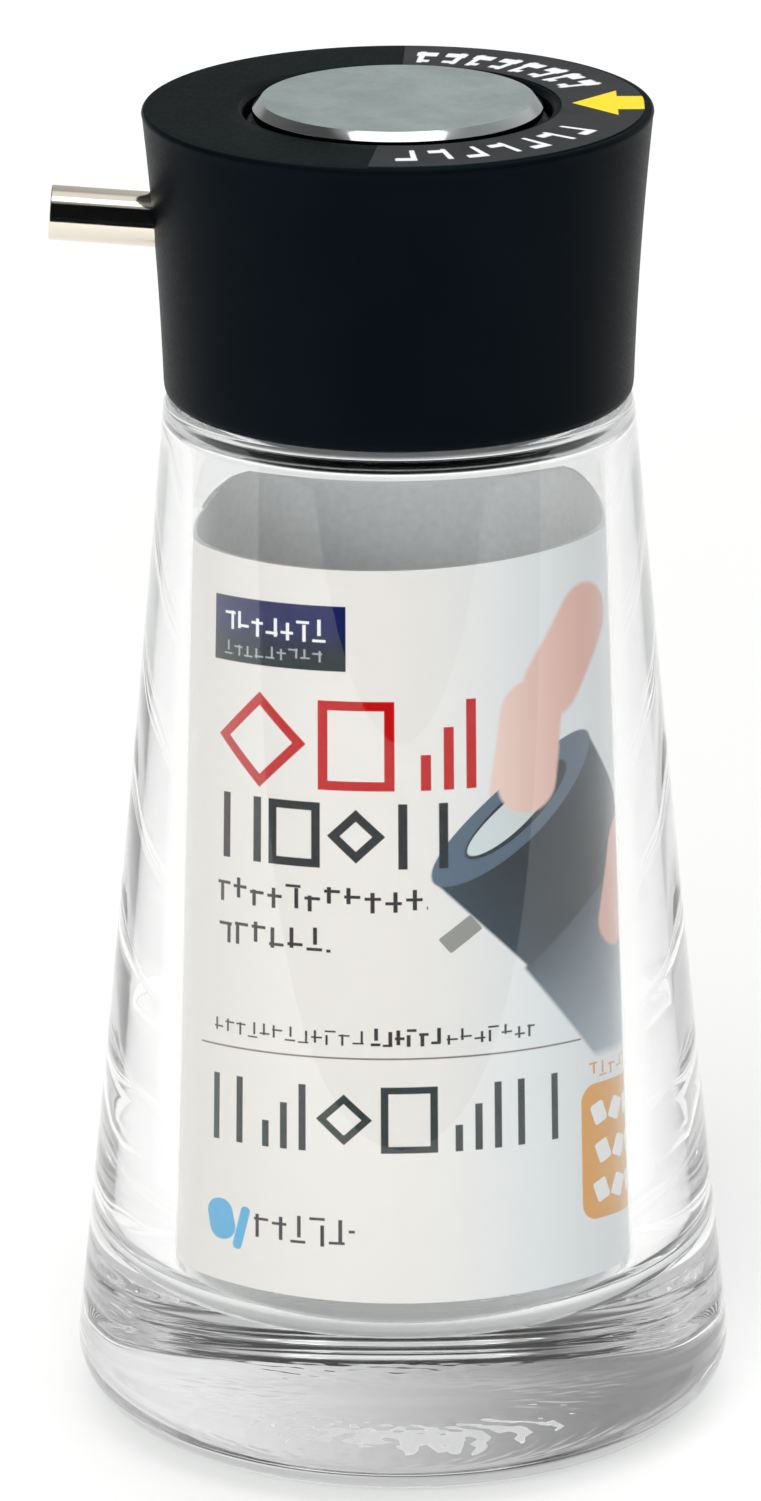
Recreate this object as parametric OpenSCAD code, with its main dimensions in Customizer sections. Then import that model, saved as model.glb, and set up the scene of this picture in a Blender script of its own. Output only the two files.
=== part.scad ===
// Table cruet: a thick glass bottle with a rolled paper insert, under a black
// screw cap that carries a steel spout and a sprung push button.
// Millimetres, +Z up. The origin is on the bottle's axis, in the plane it stands on.
// The spout points along -X.

/* [Bottle] */
// Widest radius of the glass, just above the foot
bottle_r = 33; // [28:0.5:42]
// Height of the glass shoulder above the table
shoulder_h = 105; // [80:1:140]
// How far the glass shoulder stands out past the cap's lower edge
shoulder_step = 0.1; // [0:0.05:0.6]
// Radius of the round foot corner
foot_corner = 6.4; // [3:0.2:8]
// Radius of the round shoulder corner
shoulder_corner = 0.8; // [0.6:0.1:2.2]
// How far the flared side bows in from a straight line
side_bow = 0.22; // [0:0.02:0.6]
// Width of the flat ring that the bottle stands on
foot_ring_w = 4.6; // [2:0.2:8]
// Height of the dished hollow under the foot
foot_dish = 1.4; // [0.4:0.1:3]

/* [Bottle cavity] */
// Thickness of solid glass under the cavity
base_t = 14; // [8:0.5:20]
// Radius of the fillet round the cavity floor
floor_fillet = 4.5; // [2:0.25:6]
// Glass wall at the foot of the cavity
foot_wall = 9.35; // [5:0.05:12]
// Glass wall at the shoulder
shoulder_wall = 2.6; // [2:0.1:4]
// Glass above the cavity, under the shoulder
roof_t = 1.5; // [1.2:0.1:3]
// Radius of the fillet round the cavity roof
roof_fillet = 1.8; // [0.8:0.1:2.4]
// Wall of the glass neck
neck_wall = 3.6; // [2.4:0.1:4.4]

/* [Paper insert] */
// Thickness of the rolled paper
paper_t = 0.35; // [0.25:0.05:0.8]
// Gap between the paper and the glass
paper_gap = 0.25; // [0.1:0.05:0.6]
// Height of the paper's foot above the floor fillet
paper_lift = 0.2; // [0.1:0.1:2]
// Clear height between the middle of the paper's top edge and the cavity roof
paper_headroom = 10.3; // [5:0.1:30]
// Slope of the paper's top edge in degrees, rising away from the spout
paper_slope = 1.8; // [0:0.1:4]

/* [Cap] */
// Radius of the cap at its top
cap_r = 25; // [20.5:0.5:32]
// Radius of the cap at its lower edge
cap_foot_r = 23.1; // [21:0.1:28]
// Height of the cap
cap_h = 28.7; // [23:0.1:40]
// How far the cap's side bows in from a straight line
cap_bow = 0.28; // [0:0.02:0.6]
// Radius of the cap's top edge
cap_edge = 0.5; // [0.2:0.1:0.8]
// Radius of the cap's lower edge
cap_foot_edge = 1.1; // [0.4:0.1:1.5]
// Wall of the cap round the neck
cap_wall = 4.1; // [2.5:0.1:4.5]
// Gap between the cap and the glass shoulder
cap_gap = 0.3; // [0.1:0.1:0.8]
// Clearance between the cap and the neck
neck_clearance = 0.4; // [0.2:0.05:0.8]
// Plastic left between the spout's socket and the neck
deck_t = 0.9; // [0.6:0.1:3]

/* [Mouth plug] */
// Thickness of the flange on the neck's rim
flange_t = 0.5; // [0.3:0.1:1]
// Clearance of the plug in the neck's bore
plug_clearance = 0.15; // [0.05:0.05:0.4]
// How far the plug reaches below the cavity roof
plug_reach = 0.6; // [0:0.1:3]

/* [Spout] */
// Outside diameter of the spout tube
spout_d = 5.4; // [4.4:0.1:6.5]
// Wall of the spout tube
spout_t = 0.45; // [0.3:0.05:0.8]
// Distance from the cap's top down to the spout's axis, at the cap's side
spout_drop = 11.3; // [8:0.1:13]
// Length of the spout outside the cap
spout_out = 10.1; // [5:0.1:20]
// Upward tilt of the spout in degrees
spout_tilt = 4.5; // [0:0.5:8]
// Clearance of the spout in its socket
socket_clearance = 0.05; // [0.02:0.01:0.2]
// Plastic left between the socket and the button's well
socket_wall = 1.5; // [1:0.1:3]
// Bevel on the spout's rim
spout_bevel = 0.12; // [0.05:0.01:0.15]

/* [Push button] */
// Radius of the well in the cap
well_r = 15.1; // [12:0.1:16.5]
// Bevel on the well's rim
well_bevel = 0.45; // [0.2:0.05:0.8]
// Gap round the steel plate
plate_gap = 0.9; // [0.4:0.05:1.2]
// Thickness of the steel plate
plate_t = 2.2; // [1.4:0.1:4]
// Bevel on the plate's rim
plate_bevel = 0.83; // [0.4:0.01:1.2]
// Height of the plate's face above the cap
plate_proud = 0.8; // [0:0.1:1.2]
// Running gap round the carrier under the plate
carrier_gap = 0.25; // [0.1:0.05:0.4]
// Height of the carrier
carrier_h = 4; // [2:0.1:6]
// Distance that the button can be pushed down
travel = 3.5; // [2:0.1:5]
// Space left under the carrier when it is pushed down
travel_spare = 0.5; // [0.3:0.1:1]

/* [Sticker] */
// Thickness of the clear sticker on the cap's top
sticker_t = 0.12; // [0.08:0.02:0.3]
// Plain margin between the sticker and the edges of the cap's top
sticker_margin = 0.9; // [0.6:0.1:2]
// Angle from +X to the sticker's front end
sticker_front = -97; // [-150:1:-40]
// Angle from +X to the sticker's back end
sticker_back = 88; // [40:1:150]

/* [Smoothness] */
// Steps in a full circle
round_steps = 128; // [64:8:192]
// Straight steps in each rounded corner of a profile
corner_steps = 8; // [4:1:12]
// Straight steps along each bowed side
side_steps = 12; // [6:1:20]

/* [Hidden] */
// Glass heights and radii
shoulder_r = cap_foot_r + shoulder_step;
foot_ring_r = bottle_r - foot_corner;
dish_r = foot_ring_r - foot_ring_w;
dish_sphere_r = (dish_r * dish_r + foot_dish * foot_dish) / (2 * foot_dish);
side_lean = atan((bottle_r - shoulder_r) / (shoulder_h - foot_corner - shoulder_corner));
cavity_foot_r = bottle_r - foot_wall;
cavity_top_r = shoulder_r - shoulder_wall;
cavity_foot_z = base_t + floor_fillet;
roof_z = shoulder_h - roof_t;
cavity_top_z = roof_z - roof_fillet;
neck_r = cap_foot_r - cap_wall - neck_clearance;
bore_r = neck_r - neck_wall;

// Cap heights and radii
cap_z = shoulder_h + cap_gap;
cap_top = cap_z + cap_h;
recess_r = neck_r + neck_clearance;
well_depth = plate_t - plate_proud + carrier_h + travel + travel_spare;

// Spout: the axis leaves the cap's side at (-spout_x, spout_z)
spout_z = cap_top - spout_drop;
spout_x = cap_side_r(spout_z);
socket_end_r = well_r + socket_wall;
socket_len = (spout_x - socket_end_r) / cos(spout_tilt);
socket_r = spout_d / 2 + socket_clearance;
socket_low_z = spout_z - (spout_x - socket_end_r) * tan(spout_tilt) - socket_r / cos(spout_tilt);

// The neck's rim and the plug's flange fit under the spout's socket
recess_top = socket_low_z - deck_t;
neck_top = recess_top - flange_t;
neck_edge = 0.5;

// Paper
paper_foot_z = cavity_foot_z + paper_lift;
paper_top_z = roof_z - paper_headroom;

// Push button
plate_r = well_r - plate_gap;
plate_z = cap_top + plate_proud - plate_t;
carrier_r = well_r - carrier_gap;
carrier_bevel = 0.2;

$fn = round_steps;

// Points of a circular arc from angle a to angle b
function arc(c, r, a, b, steps = corner_steps) =
    [for (i = [0:steps]) let (t = a + (b - a) * i / steps) c + r * [cos(t), sin(t)]];

// Points of a side that bows in by "bow" halfway between p and q, ends left out
function bowed(p, q, bow) =
    [for (i = [1:side_steps - 1]) let (t = i / side_steps)
        p + (q - p) * t - [4 * bow * t * (1 - t), 0]];

// Radius of the cap's side at height z
function cap_side_r(z) = let (t = (z - cap_z) / cap_h)
    cap_foot_r + (cap_r - cap_foot_r) * t - 4 * cap_bow * t * (1 - t);

// Radius of the cavity at height z
function cavity_r(z) = cavity_foot_r
    + (cavity_top_r - cavity_foot_r) * (z - cavity_foot_z) / (cavity_top_z - cavity_foot_z);

// Outside of the glass from the dish under the foot to the neck's rim
function glass_outside() = let (
        foot = arc([foot_ring_r, foot_corner], foot_corner, -90, side_lean),
        shoulder = arc([shoulder_r - shoulder_corner, shoulder_h - shoulder_corner],
                       shoulder_corner, side_lean, 90))
    concat(
        arc([0, foot_dish - dish_sphere_r], dish_sphere_r, 90, asin(1 - foot_dish / dish_sphere_r)),
        foot,
        bowed(foot[corner_steps], shoulder[0], side_bow),
        shoulder,
        [[neck_r, shoulder_h]],
        arc([neck_r - neck_edge, neck_top - neck_edge], neck_edge, 0, 90, 4));

// Inside of the glass from the neck's rim down to the cavity floor
function glass_inside() = concat(
    arc([bore_r + neck_edge, neck_top - neck_edge], neck_edge, 90, 180, 4),
    arc([bore_r + neck_edge, roof_z + neck_edge], neck_edge, 180, 270, 4),
    arc([cavity_top_r - roof_fillet, cavity_top_z], roof_fillet, 90, 0),
    arc([cavity_foot_r - floor_fillet, cavity_foot_z], floor_fillet, 0, -90),
    [[0, base_t]]);

module bottle() {
    color([0.82, 0.88, 0.88, 0.45])
        rotate_extrude() polygon(concat(glass_outside(), glass_inside()));
}

// Open cone of paper that lines the cavity, cut off along a slope at the top
module paper_insert() {
    rise = cavity_foot_r * tan(paper_slope);
    uncut_z = paper_top_z + rise;
    foot_r = cavity_r(paper_foot_z) - paper_gap;
    uncut_r = cavity_r(uncut_z) - paper_gap;
    color("whitesmoke") difference() {
        rotate_extrude() polygon([
            [foot_r - paper_t, paper_foot_z],
            [foot_r, paper_foot_z],
            [uncut_r, uncut_z],
            [uncut_r - paper_t, uncut_z]]);
        translate([0, 0, paper_top_z]) rotate([0, -paper_slope, 0])
            translate([-2 * foot_r, -2 * foot_r, 0]) cube([4 * foot_r, 4 * foot_r, 4 * rise + 1]);
    }
}

// Plug in the bottle's mouth, with a flange held between the neck and the cap
module mouth_plug() {
    plug_r = bore_r - plug_clearance;
    flange_r = neck_r - neck_edge;
    color([0.05, 0.06, 0.07]) rotate_extrude() polygon([
        [0, roof_z - plug_reach], [plug_r, roof_z - plug_reach],
        [plug_r, neck_top], [flange_r, neck_top],
        [flange_r, recess_top], [0, recess_top]]);
}

// Solid outside of the cap
module cap_body() {
    foot = arc([cap_foot_r - cap_foot_edge, cap_z + cap_foot_edge], cap_foot_edge, -90, 0);
    top = arc([cap_r - cap_edge, cap_top - cap_edge], cap_edge, 0, 90);
    side = [for (p = bowed([cap_foot_r, cap_z], [cap_r, cap_top], cap_bow))
        if (p.y > cap_z + cap_foot_edge && p.y < cap_top - cap_edge) p];
    rotate_extrude() polygon(concat([[0, cap_z]], foot, side, top, [[0, cap_top]]));
}

// Places its children on the spout's axis, with +Z pointing out of the cap
module on_spout_axis() {
    translate([-spout_x, 0, spout_z]) rotate([0, -90 + spout_tilt, 0]) children();
}

module cap() {
    over = 1;
    color([0.10, 0.14, 0.15]) difference() {
        cap_body();
        // recess over the neck
        translate([0, 0, cap_z - over]) cylinder(h = recess_top - cap_z + over, r = recess_r);
        // well for the push button, with a bevelled rim
        translate([0, 0, cap_top - well_depth]) cylinder(h = well_depth + over, r = well_r);
        translate([0, 0, cap_top - well_bevel])
            cylinder(h = well_bevel, r1 = well_r, r2 = well_r + well_bevel);
        // socket for the spout
        on_spout_axis() translate([0, 0, -socket_len])
            cylinder(h = socket_len + 4 * over, r = socket_r);
    }
}

// Straight tube with bevelled ends, from the bottom of its socket to the free tip
module spout() {
    r = spout_d / 2;
    b = spout_bevel;
    low = -socket_len;
    color([0.80, 0.78, 0.74]) on_spout_axis() rotate_extrude() polygon([
        [r - spout_t + b, low], [r - b, low], [r, low + b],
        [r, spout_out - b], [r - b, spout_out],
        [r - spout_t + b, spout_out], [r - spout_t, spout_out - b],
        [r - spout_t, low + b]]);
}

// Part of a flat ring on the cap's top
module cap_sticker() {
    inner_r = well_r + sticker_margin;
    outer_r = cap_r - sticker_margin;
    color([0.16, 0.20, 0.22]) rotate([0, 0, sticker_front])
        rotate_extrude(angle = sticker_back - sticker_front)
            translate([inner_r, cap_top]) square([outer_r - inner_r, sticker_t]);
}

// Bevelled steel disc that the finger presses
module push_plate() {
    color([0.62, 0.66, 0.66]) translate([0, 0, plate_z]) rotate_extrude() polygon([
        [0, 0], [plate_r, 0], [plate_r, plate_t - plate_bevel],
        [plate_r - plate_bevel, plate_t], [0, plate_t]]);
}

// Black carrier under the disc, guided by the well
module push_carrier() {
    b = carrier_bevel;
    color([0.04, 0.04, 0.05]) translate([0, 0, plate_z - carrier_h]) rotate_extrude() polygon([
        [0, 0], [carrier_r - b, 0], [carrier_r, b],
        [carrier_r, carrier_h - b], [carrier_r - b, carrier_h], [0, carrier_h]]);
}

bottle();
paper_insert();
mouth_plug();
cap();
spout();
cap_sticker();
push_plate();
push_carrier();
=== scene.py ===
# Table cruet: thick glass bottle, rolled paper insert, black screw cap, steel spout and push button.
# +Z up, spout along -X, printed front facing -Y. Sizes are in millimetres, made metres in makePiece.
import math

import bpy
import numpy as np
from mathutils import Matrix, Vector


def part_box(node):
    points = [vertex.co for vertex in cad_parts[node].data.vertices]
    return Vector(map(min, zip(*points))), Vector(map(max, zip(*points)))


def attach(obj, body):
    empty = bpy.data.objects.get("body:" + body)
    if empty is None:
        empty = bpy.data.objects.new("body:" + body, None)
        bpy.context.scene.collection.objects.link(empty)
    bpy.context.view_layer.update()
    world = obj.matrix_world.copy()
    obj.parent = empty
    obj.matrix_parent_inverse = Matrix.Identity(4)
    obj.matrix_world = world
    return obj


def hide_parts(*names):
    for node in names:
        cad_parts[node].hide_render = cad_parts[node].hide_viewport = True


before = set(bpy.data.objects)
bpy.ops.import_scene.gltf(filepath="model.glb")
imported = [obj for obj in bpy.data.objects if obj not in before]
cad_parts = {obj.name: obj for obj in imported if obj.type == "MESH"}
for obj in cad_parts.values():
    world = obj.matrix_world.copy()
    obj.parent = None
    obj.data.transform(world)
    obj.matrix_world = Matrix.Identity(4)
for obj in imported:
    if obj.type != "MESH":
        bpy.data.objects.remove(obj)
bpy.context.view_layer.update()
mm = 0.001
scene = bpy.context.scene
scene.view_settings.view_transform = "Standard"
lightBounces = 40  # light goes a long way inside thick glass
for kind in ("max", "transmission", "glossy", "transparent_max"):
    setattr(scene.cycles, kind + "_bounces", lightBounces)


def boxMm(node):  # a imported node's lowest and highest corners in millimetres
    low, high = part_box(node)
    return np.array(low) / mm, np.array(high) / mm


glassHigh = boxMm("bottle")[1]
paperLow = boxMm("paper_insert")[0]
plugLow, plugHigh = boxMm("mouth_plug")
capLow, capHigh = boxMm("cap")
spoutLow, spoutHigh = boxMm("spout")
stickerLow, stickerHigh = boxMm("cap_sticker")
plateLow, plateHigh = boxMm("push_plate")
carrierLow, carrierHigh = boxMm("push_carrier")
capTop = capHigh[2]
print("frame loaded")


def arcPoints(centre, radius, start, end, steps=10):
    # centre + radius * (cos t, sin t), with t running from start to end in degrees
    t = np.radians(np.linspace(start, end, steps + 1))
    return np.array(centre) + radius * np.stack([np.cos(t), np.sin(t)], 1)


def bowedSide(low, high, bow, steps=40):
    # low + (high - low) * t, drawn in by 4 * bow * t * (1 - t), ends left out
    t = np.linspace(0, 1, steps + 1)[1:-1, None]
    line = np.array(low) + (np.array(high) - np.array(low)) * t
    return line - np.concatenate([4 * bow * t * (1 - t), 0 * t], 1)


def subdivided(profile, step):
    # each stretch p..q becomes ceil(|q - p| / step) equal ones
    parts = []
    for p, q in zip(profile[:-1], profile[1:]):
        count = max(1, math.ceil(np.linalg.norm(q - p) / step))
        parts.append(p + (q - p) * (np.arange(count) / count)[:, None])
    return np.concatenate(parts + [profile[-1:]])


def gridFaces(rows, columns, closeRows=False, closeColumns=False):
    # face (i, j) joins the corners (i, j), (i, j + 1), (i + 1, j + 1), (i + 1, j)
    i = np.arange(rows if closeRows else rows - 1)[:, None]
    j = np.arange(columns if closeColumns else columns - 1)[None, :]
    up, on = (i + 1) % rows, (j + 1) % columns
    corners = [i * columns + j, i * columns + on, up * columns + on, up * columns + j]
    return np.stack(corners, -1).reshape(-1, 4)


def solidVolume(points, faces):
    # sum over the fans of each face of p0 . (p1 x p2) / 6
    total = 0.0
    for k in range(1, faces.shape[1] - 1):
        a, b, c = points[faces[:, 0]], points[faces[:, k]], points[faces[:, k + 1]]
        total += np.einsum("ij,ij->i", a, np.cross(b, c)).sum() / 6
    return total


def makePiece(name, points, quads, triangles=None, sharp=35):
    # points in millimetres; faces are turned to point outwards by the sign of the volume
    if triangles is None:
        triangles = np.zeros((0, 3), int)
    volume = solidVolume(points, quads) + (solidVolume(points, triangles) if len(triangles) else 0)
    if volume < 0:
        quads, triangles = quads[:, ::-1], triangles[:, ::-1]
    mesh = bpy.data.meshes.new(name)
    mesh.from_pydata((points * mm).tolist(), [], quads.tolist() + triangles.tolist())
    mesh.validate()
    mesh.shade_smooth()
    mesh.set_sharp_from_angle(angle=math.radians(sharp))
    piece = bpy.data.objects.new(name, mesh)
    scene.collection.objects.link(piece)
    return piece


def lathe(name, profile, around=256, closed=False, ripple=None, place=None, sharp=35):
    # (r cos a, r sin a, z) for each profile point (r, z) and turn a; r = 0 at an end closes in a pole,
    # and ripple(a, r, z) gives what is added to r and z
    profile = np.asarray(profile, float)
    startPole, endPole = profile[0, 0] < 1e-6, profile[-1, 0] < 1e-6
    rings = profile[(1 if startPole else 0):(len(profile) - 1 if endPole else len(profile))]
    a = np.linspace(0, 2 * np.pi, around, endpoint=False)[None, :]
    r, z = rings[:, :1] + 0 * a, rings[:, 1:] + 0 * a
    if ripple:
        dr, dz = ripple(a, r, z)
        r, z = r + dr, z + dz
    points = np.stack([r * np.cos(a), r * np.sin(a), z], -1).reshape(-1, 3)
    quads = gridFaces(len(rings), around, closed, True)
    j = np.arange(around)
    triangles = []
    if startPole:
        points = np.concatenate([points, [[0, 0, profile[0, 1]]]])
        triangles.append(np.stack([0 * j + len(points) - 1, (j + 1) % around, j], 1))
    if endPole:
        points = np.concatenate([points, [[0, 0, profile[-1, 1]]]])
        last = (len(rings) - 1) * around
        triangles.append(np.stack([0 * j + len(points) - 1, last + j, last + (j + 1) % around], 1))
    if place is not None:
        points = points @ place[:3, :3].T + place[:3, 3]
    return makePiece(name, points, quads, np.concatenate(triangles) if triangles else None, sharp)


def faceCentres(piece):  # the middles of a piece's faces, in millimetres
    centres = np.zeros(len(piece.data.polygons) * 3)
    piece.data.polygons.foreach_get("center", centres)
    return centres.reshape(-1, 3) / mm


def smoothStep(x, low, high):
    # 3 t^2 - 2 t^3 with t = (x - low) / (high - low), held to 0..1
    t = np.clip((x - low) / (high - low), 0, 1)
    return t * t * (3 - 2 * t)


def waves(a, z, count, turns, rise, seed):
    # sum of sines of random whole turns in a and random rises in z, of root mean square about 1
    random = np.random.default_rng(seed)
    total = 0
    for _ in range(count):
        m, k = random.integers(turns[0], turns[1] + 1), random.uniform(-rise, rise)
        total = total + np.sin(m * a + k * z + random.uniform(0, 2 * np.pi))
    return total * math.sqrt(2 / count)


def ring(r, edges):
    # rises from 0 to 1 between the first two edges and falls back to 0 between the last two
    return smoothStep(r, edges[0], edges[1]) * (1 - smoothStep(r, edges[2], edges[3]))


def flatWaves(x, y, count, low, high, seed):
    # sum of sines of height low / k along random directions, of random wave numbers k from low to
    # high a millimetre
    random = np.random.default_rng(seed)
    total = 0
    for _ in range(count):
        turn, k = random.uniform(0, 2 * np.pi), random.uniform(low, high)
        along = x * np.cos(turn) + y * np.sin(turn)
        total = total + np.sin(k * along + random.uniform(0, 2 * np.pi)) * low / k
    return total * math.sqrt(2 / count)


def tone(red, green, blue):  # a screen colour in 0..255 as a linear one
    c = np.array([red, green, blue]) / 255
    return tuple(np.where(c <= 0.04045, c / 12.92, ((c + 0.055) / 1.055) ** 2.4)) + (1,)


class Finish:  # a material and short ways to add its nodes
    def __init__(self, name):
        self.material = bpy.data.materials.new(name)
        self.material.use_nodes = True
        self.tree = self.material.node_tree
        self.tree.nodes.clear()
        self.output = self.tree.nodes.new("ShaderNodeOutputMaterial")

    def link(self, source, socket):
        self.tree.links.new(source, socket)

    def add(self, kind, values=None, **settings):
        node = self.tree.nodes.new(kind)
        for key, value in settings.items():
            setattr(node, key, value)
        for key, value in (values or {}).items():
            if isinstance(value, bpy.types.NodeSocket):
                self.link(value, node.inputs[key])
            else:
                node.inputs[key].default_value = value
        return node

    def principled(self, **values):
        node = self.add("ShaderNodeBsdfPrincipled", {k.replace("_", " "): v for k, v in values.items()})
        self.link(node.outputs[0], self.output.inputs["Surface"])
        return node

    def maths(self, operation, a, b=0.0, c=0.0, clamp=False):
        node = self.add("ShaderNodeMath", {0: a, 1: b, 2: c}, operation=operation, use_clamp=clamp)
        return node.outputs[0]

    def vector(self, operation, a, b=(0, 0, 0)):
        node = self.add("ShaderNodeVectorMath", {0: a, 1: b}, operation=operation)
        return node.outputs["Value" if operation in ("LENGTH", "DOT_PRODUCT") else "Vector"]

    def mix(self, factor, a, b):
        return self.add("ShaderNodeMix", {0: factor, 6: a, 7: b}, data_type="RGBA").outputs[2]

    def noise(self, place, scale, detail=3.0, roughness=0.5):
        values = {"Vector": place, "Scale": scale, "Detail": detail, "Roughness": roughness}
        return self.add("ShaderNodeTexNoise", values).outputs["Fac"]

    def ramp(self, value, low, high, outLow=0.0, outHigh=1.0):
        values = {0: value, 1: low, 2: high, 3: outLow, 4: outHigh}
        return self.add("ShaderNodeMapRange", values).outputs[0]

    def bump(self, height, strength, distance):
        values = {"Height": height, "Strength": strength, "Distance": distance}
        return self.add("ShaderNodeBump", values).outputs[0]

    def objectPlace(self):
        return self.add("ShaderNodeTexCoord").outputs["Object"]

    def boxMask(self, place, centre, half, radius=0.0, turn=0.0, soft=0.08):
        # 0.5 + (radius - |max(|turned(p - centre)| - half + radius, 0)|) / soft, held to 0..1,
        # with the radius at least half as large as soft
        radius = max(radius, soft / 2)
        p = self.vector("SUBTRACT", place, (centre[0], centre[1], 0))
        if turn:
            values = {"Vector": p, "Angle": math.radians(-turn)}
            p = self.add("ShaderNodeVectorRotate", values, rotation_type="Z_AXIS").outputs[0]
        p = self.vector("ABSOLUTE", p)
        p = self.vector("SUBTRACT", p, (half[0] - radius, half[1] - radius, 1))
        p = self.vector("MAXIMUM", p, (0, 0, 0))
        away = self.vector("LENGTH", p)
        return self.maths("MULTIPLY_ADD", away, -1 / soft, 0.5 + radius / soft, clamp=True)

    def marks(self, place, start, end, height, tall, pitch, line, seed):
        # cells of width pitch from start to end, each with one post and one bar moved at random by
        # up to half of each wander
        u = self.add("ShaderNodeSeparateXYZ", {0: place}).outputs
        count = self.maths("DIVIDE", self.maths("SUBTRACT", u[0], start), pitch)
        cell = self.maths("FLOOR", count)
        lot = self.add(
            "ShaderNodeTexWhiteNoise", {"W": self.maths("ADD", cell, seed)}, noise_dimensions="1D")
        pick = self.add("ShaderNodeSeparateXYZ", {0: lot.outputs["Color"]}).outputs
        inCell = self.maths("SUBTRACT", self.maths("SUBTRACT", count, cell), 0.5)
        across = self.maths("MULTIPLY", inCell, pitch)
        up = self.maths("SUBTRACT", u[1], height)
        wander = (0.6 * pitch, 1.2 * tall, 1.8 * tall)
        shifted = [self.maths("MULTIPLY_ADD", pick[k], -size, size / 2) for k, size in enumerate(wander)]
        post = self.add("ShaderNodeCombineXYZ", {
            0: self.maths("ADD", across, shifted[0]), 1: self.maths("ADD", up, shifted[1])}).outputs[0]
        bar = self.add("ShaderNodeCombineXYZ", {0: across, 1: self.maths("ADD", up, shifted[2])}).outputs[0]
        both = self.union([self.boxMask(post, (0, 0), (line / 2, 0.8 * tall)),
                           self.boxMask(bar, (0, 0), (0.4 * pitch, 0.4 * line))])
        row = self.boxMask(place, ((start + end) / 2, height), ((end - start) / 2, tall))
        return self.maths("MULTIPLY", both, row)

    def union(self, masks):
        total = masks[0]
        for mask in masks[1:]:
            total = self.maths("MAXIMUM", total, mask)
        return total

    def outline(self, place, centre, half, line, turn=0.0, radius=0.0):
        # a box less a smaller box
        outer = self.boxMask(place, centre, half, radius, turn)
        inner = self.boxMask(place, centre, (half[0] - line, half[1] - line), max(radius - line, 0), turn)
        return self.maths("SUBTRACT", outer, inner, clamp=True)


def finishWith(piece, finishes, body, node):
    for finish in finishes:
        piece.data.materials.append(finish.material)
    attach(piece, body)
    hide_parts(node)


# the camera looks down on the cruet from a little above; down and roll are in degrees
camera = {
    "back": 842.3, "side": -2.0, "height": 346.1, "down": 18.28, "roll": -0.3, "lens": 213.3, "sensor": 36,
}
cameraData = bpy.data.cameras.new("camera")
cameraData.lens = camera["lens"]
cameraData.sensor_width = camera["sensor"]
cameraObject = bpy.data.objects.new("camera", cameraData)
cameraObject.location = (camera["side"] * mm, -camera["back"] * mm, camera["height"] * mm)
level = Matrix.Rotation(math.radians(90 - camera["down"]), 4, "X")
cameraObject.rotation_euler = (level @ Matrix.Rotation(math.radians(camera["roll"]), 4, "Z")).to_euler()
scene.collection.objects.link(cameraObject)
scene.camera = cameraObject


# glass bottle; each set of waves is its count, its turns or wave numbers, its rise where it has one
# and its seed, and each ring is the four edges of where the waves show
glass = {
    "footCorner": 6.4, "footRing": 4.6, "footDish": 1.4, "sideBow": 0.22,
    "shoulder": 105.0, "shoulderCorner": 0.8, "shoulderRadius": 23.2,
    "neckRadius": 18.6, "neckWall": 3.6, "neckEdge": 0.5, "neckFillet": 0.4,
    "base": 14.0, "floorFillet": 4.5, "footWall": 9.35, "shoulderWall": 2.6, "roof": 1.5, "roofFillet": 1.8,
    "seam": 0.05, "seamAbove": 0.5, "seamHalf": 0.22,
    "innerWave": 0.006, "innerSet": (16, (2, 13), 0.03, 3),
    "outerWave": 0.006, "outerSet": (10, (1, 6), 0.08, 5),
    "footWave": 0.012, "footSet": (14, (4, 15), 0.45, 21), "footSides": (0.5, 0.85), "footFade": (11, 20),
    "chill": 0.03, "chillSet": (40, 2.4, 6.0, 11), "chillRing": (5, 9, 13, 17),
    "floorWave": 0.05, "floorSet": (40, 1.6, 5.0, 13), "floorRing": (4, 9, 17, 19),
    "colour": (0.915, 0.921, 0.919, 1), "shade": (0.74, 0.752, 0.748, 1), "ior": 1.5,
}
bottleRadius = glassHigh[0]
neckTop = glassHigh[2]
roofHeight = glass["shoulder"] - glass["roof"]
cavityFoot = (bottleRadius - glass["footWall"], glass["base"] + glass["floorFillet"])
cavityHead = (glass["shoulderRadius"] - glass["shoulderWall"], roofHeight - glass["roofFillet"])


def cavityRadius(z):
    # the straight line from the cavity's foot to its head, as a radius at the height z
    across = (cavityHead[0] - cavityFoot[0]) * (z - cavityFoot[1])
    return cavityFoot[0] + across / (cavityHead[1] - cavityFoot[1])


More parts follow.
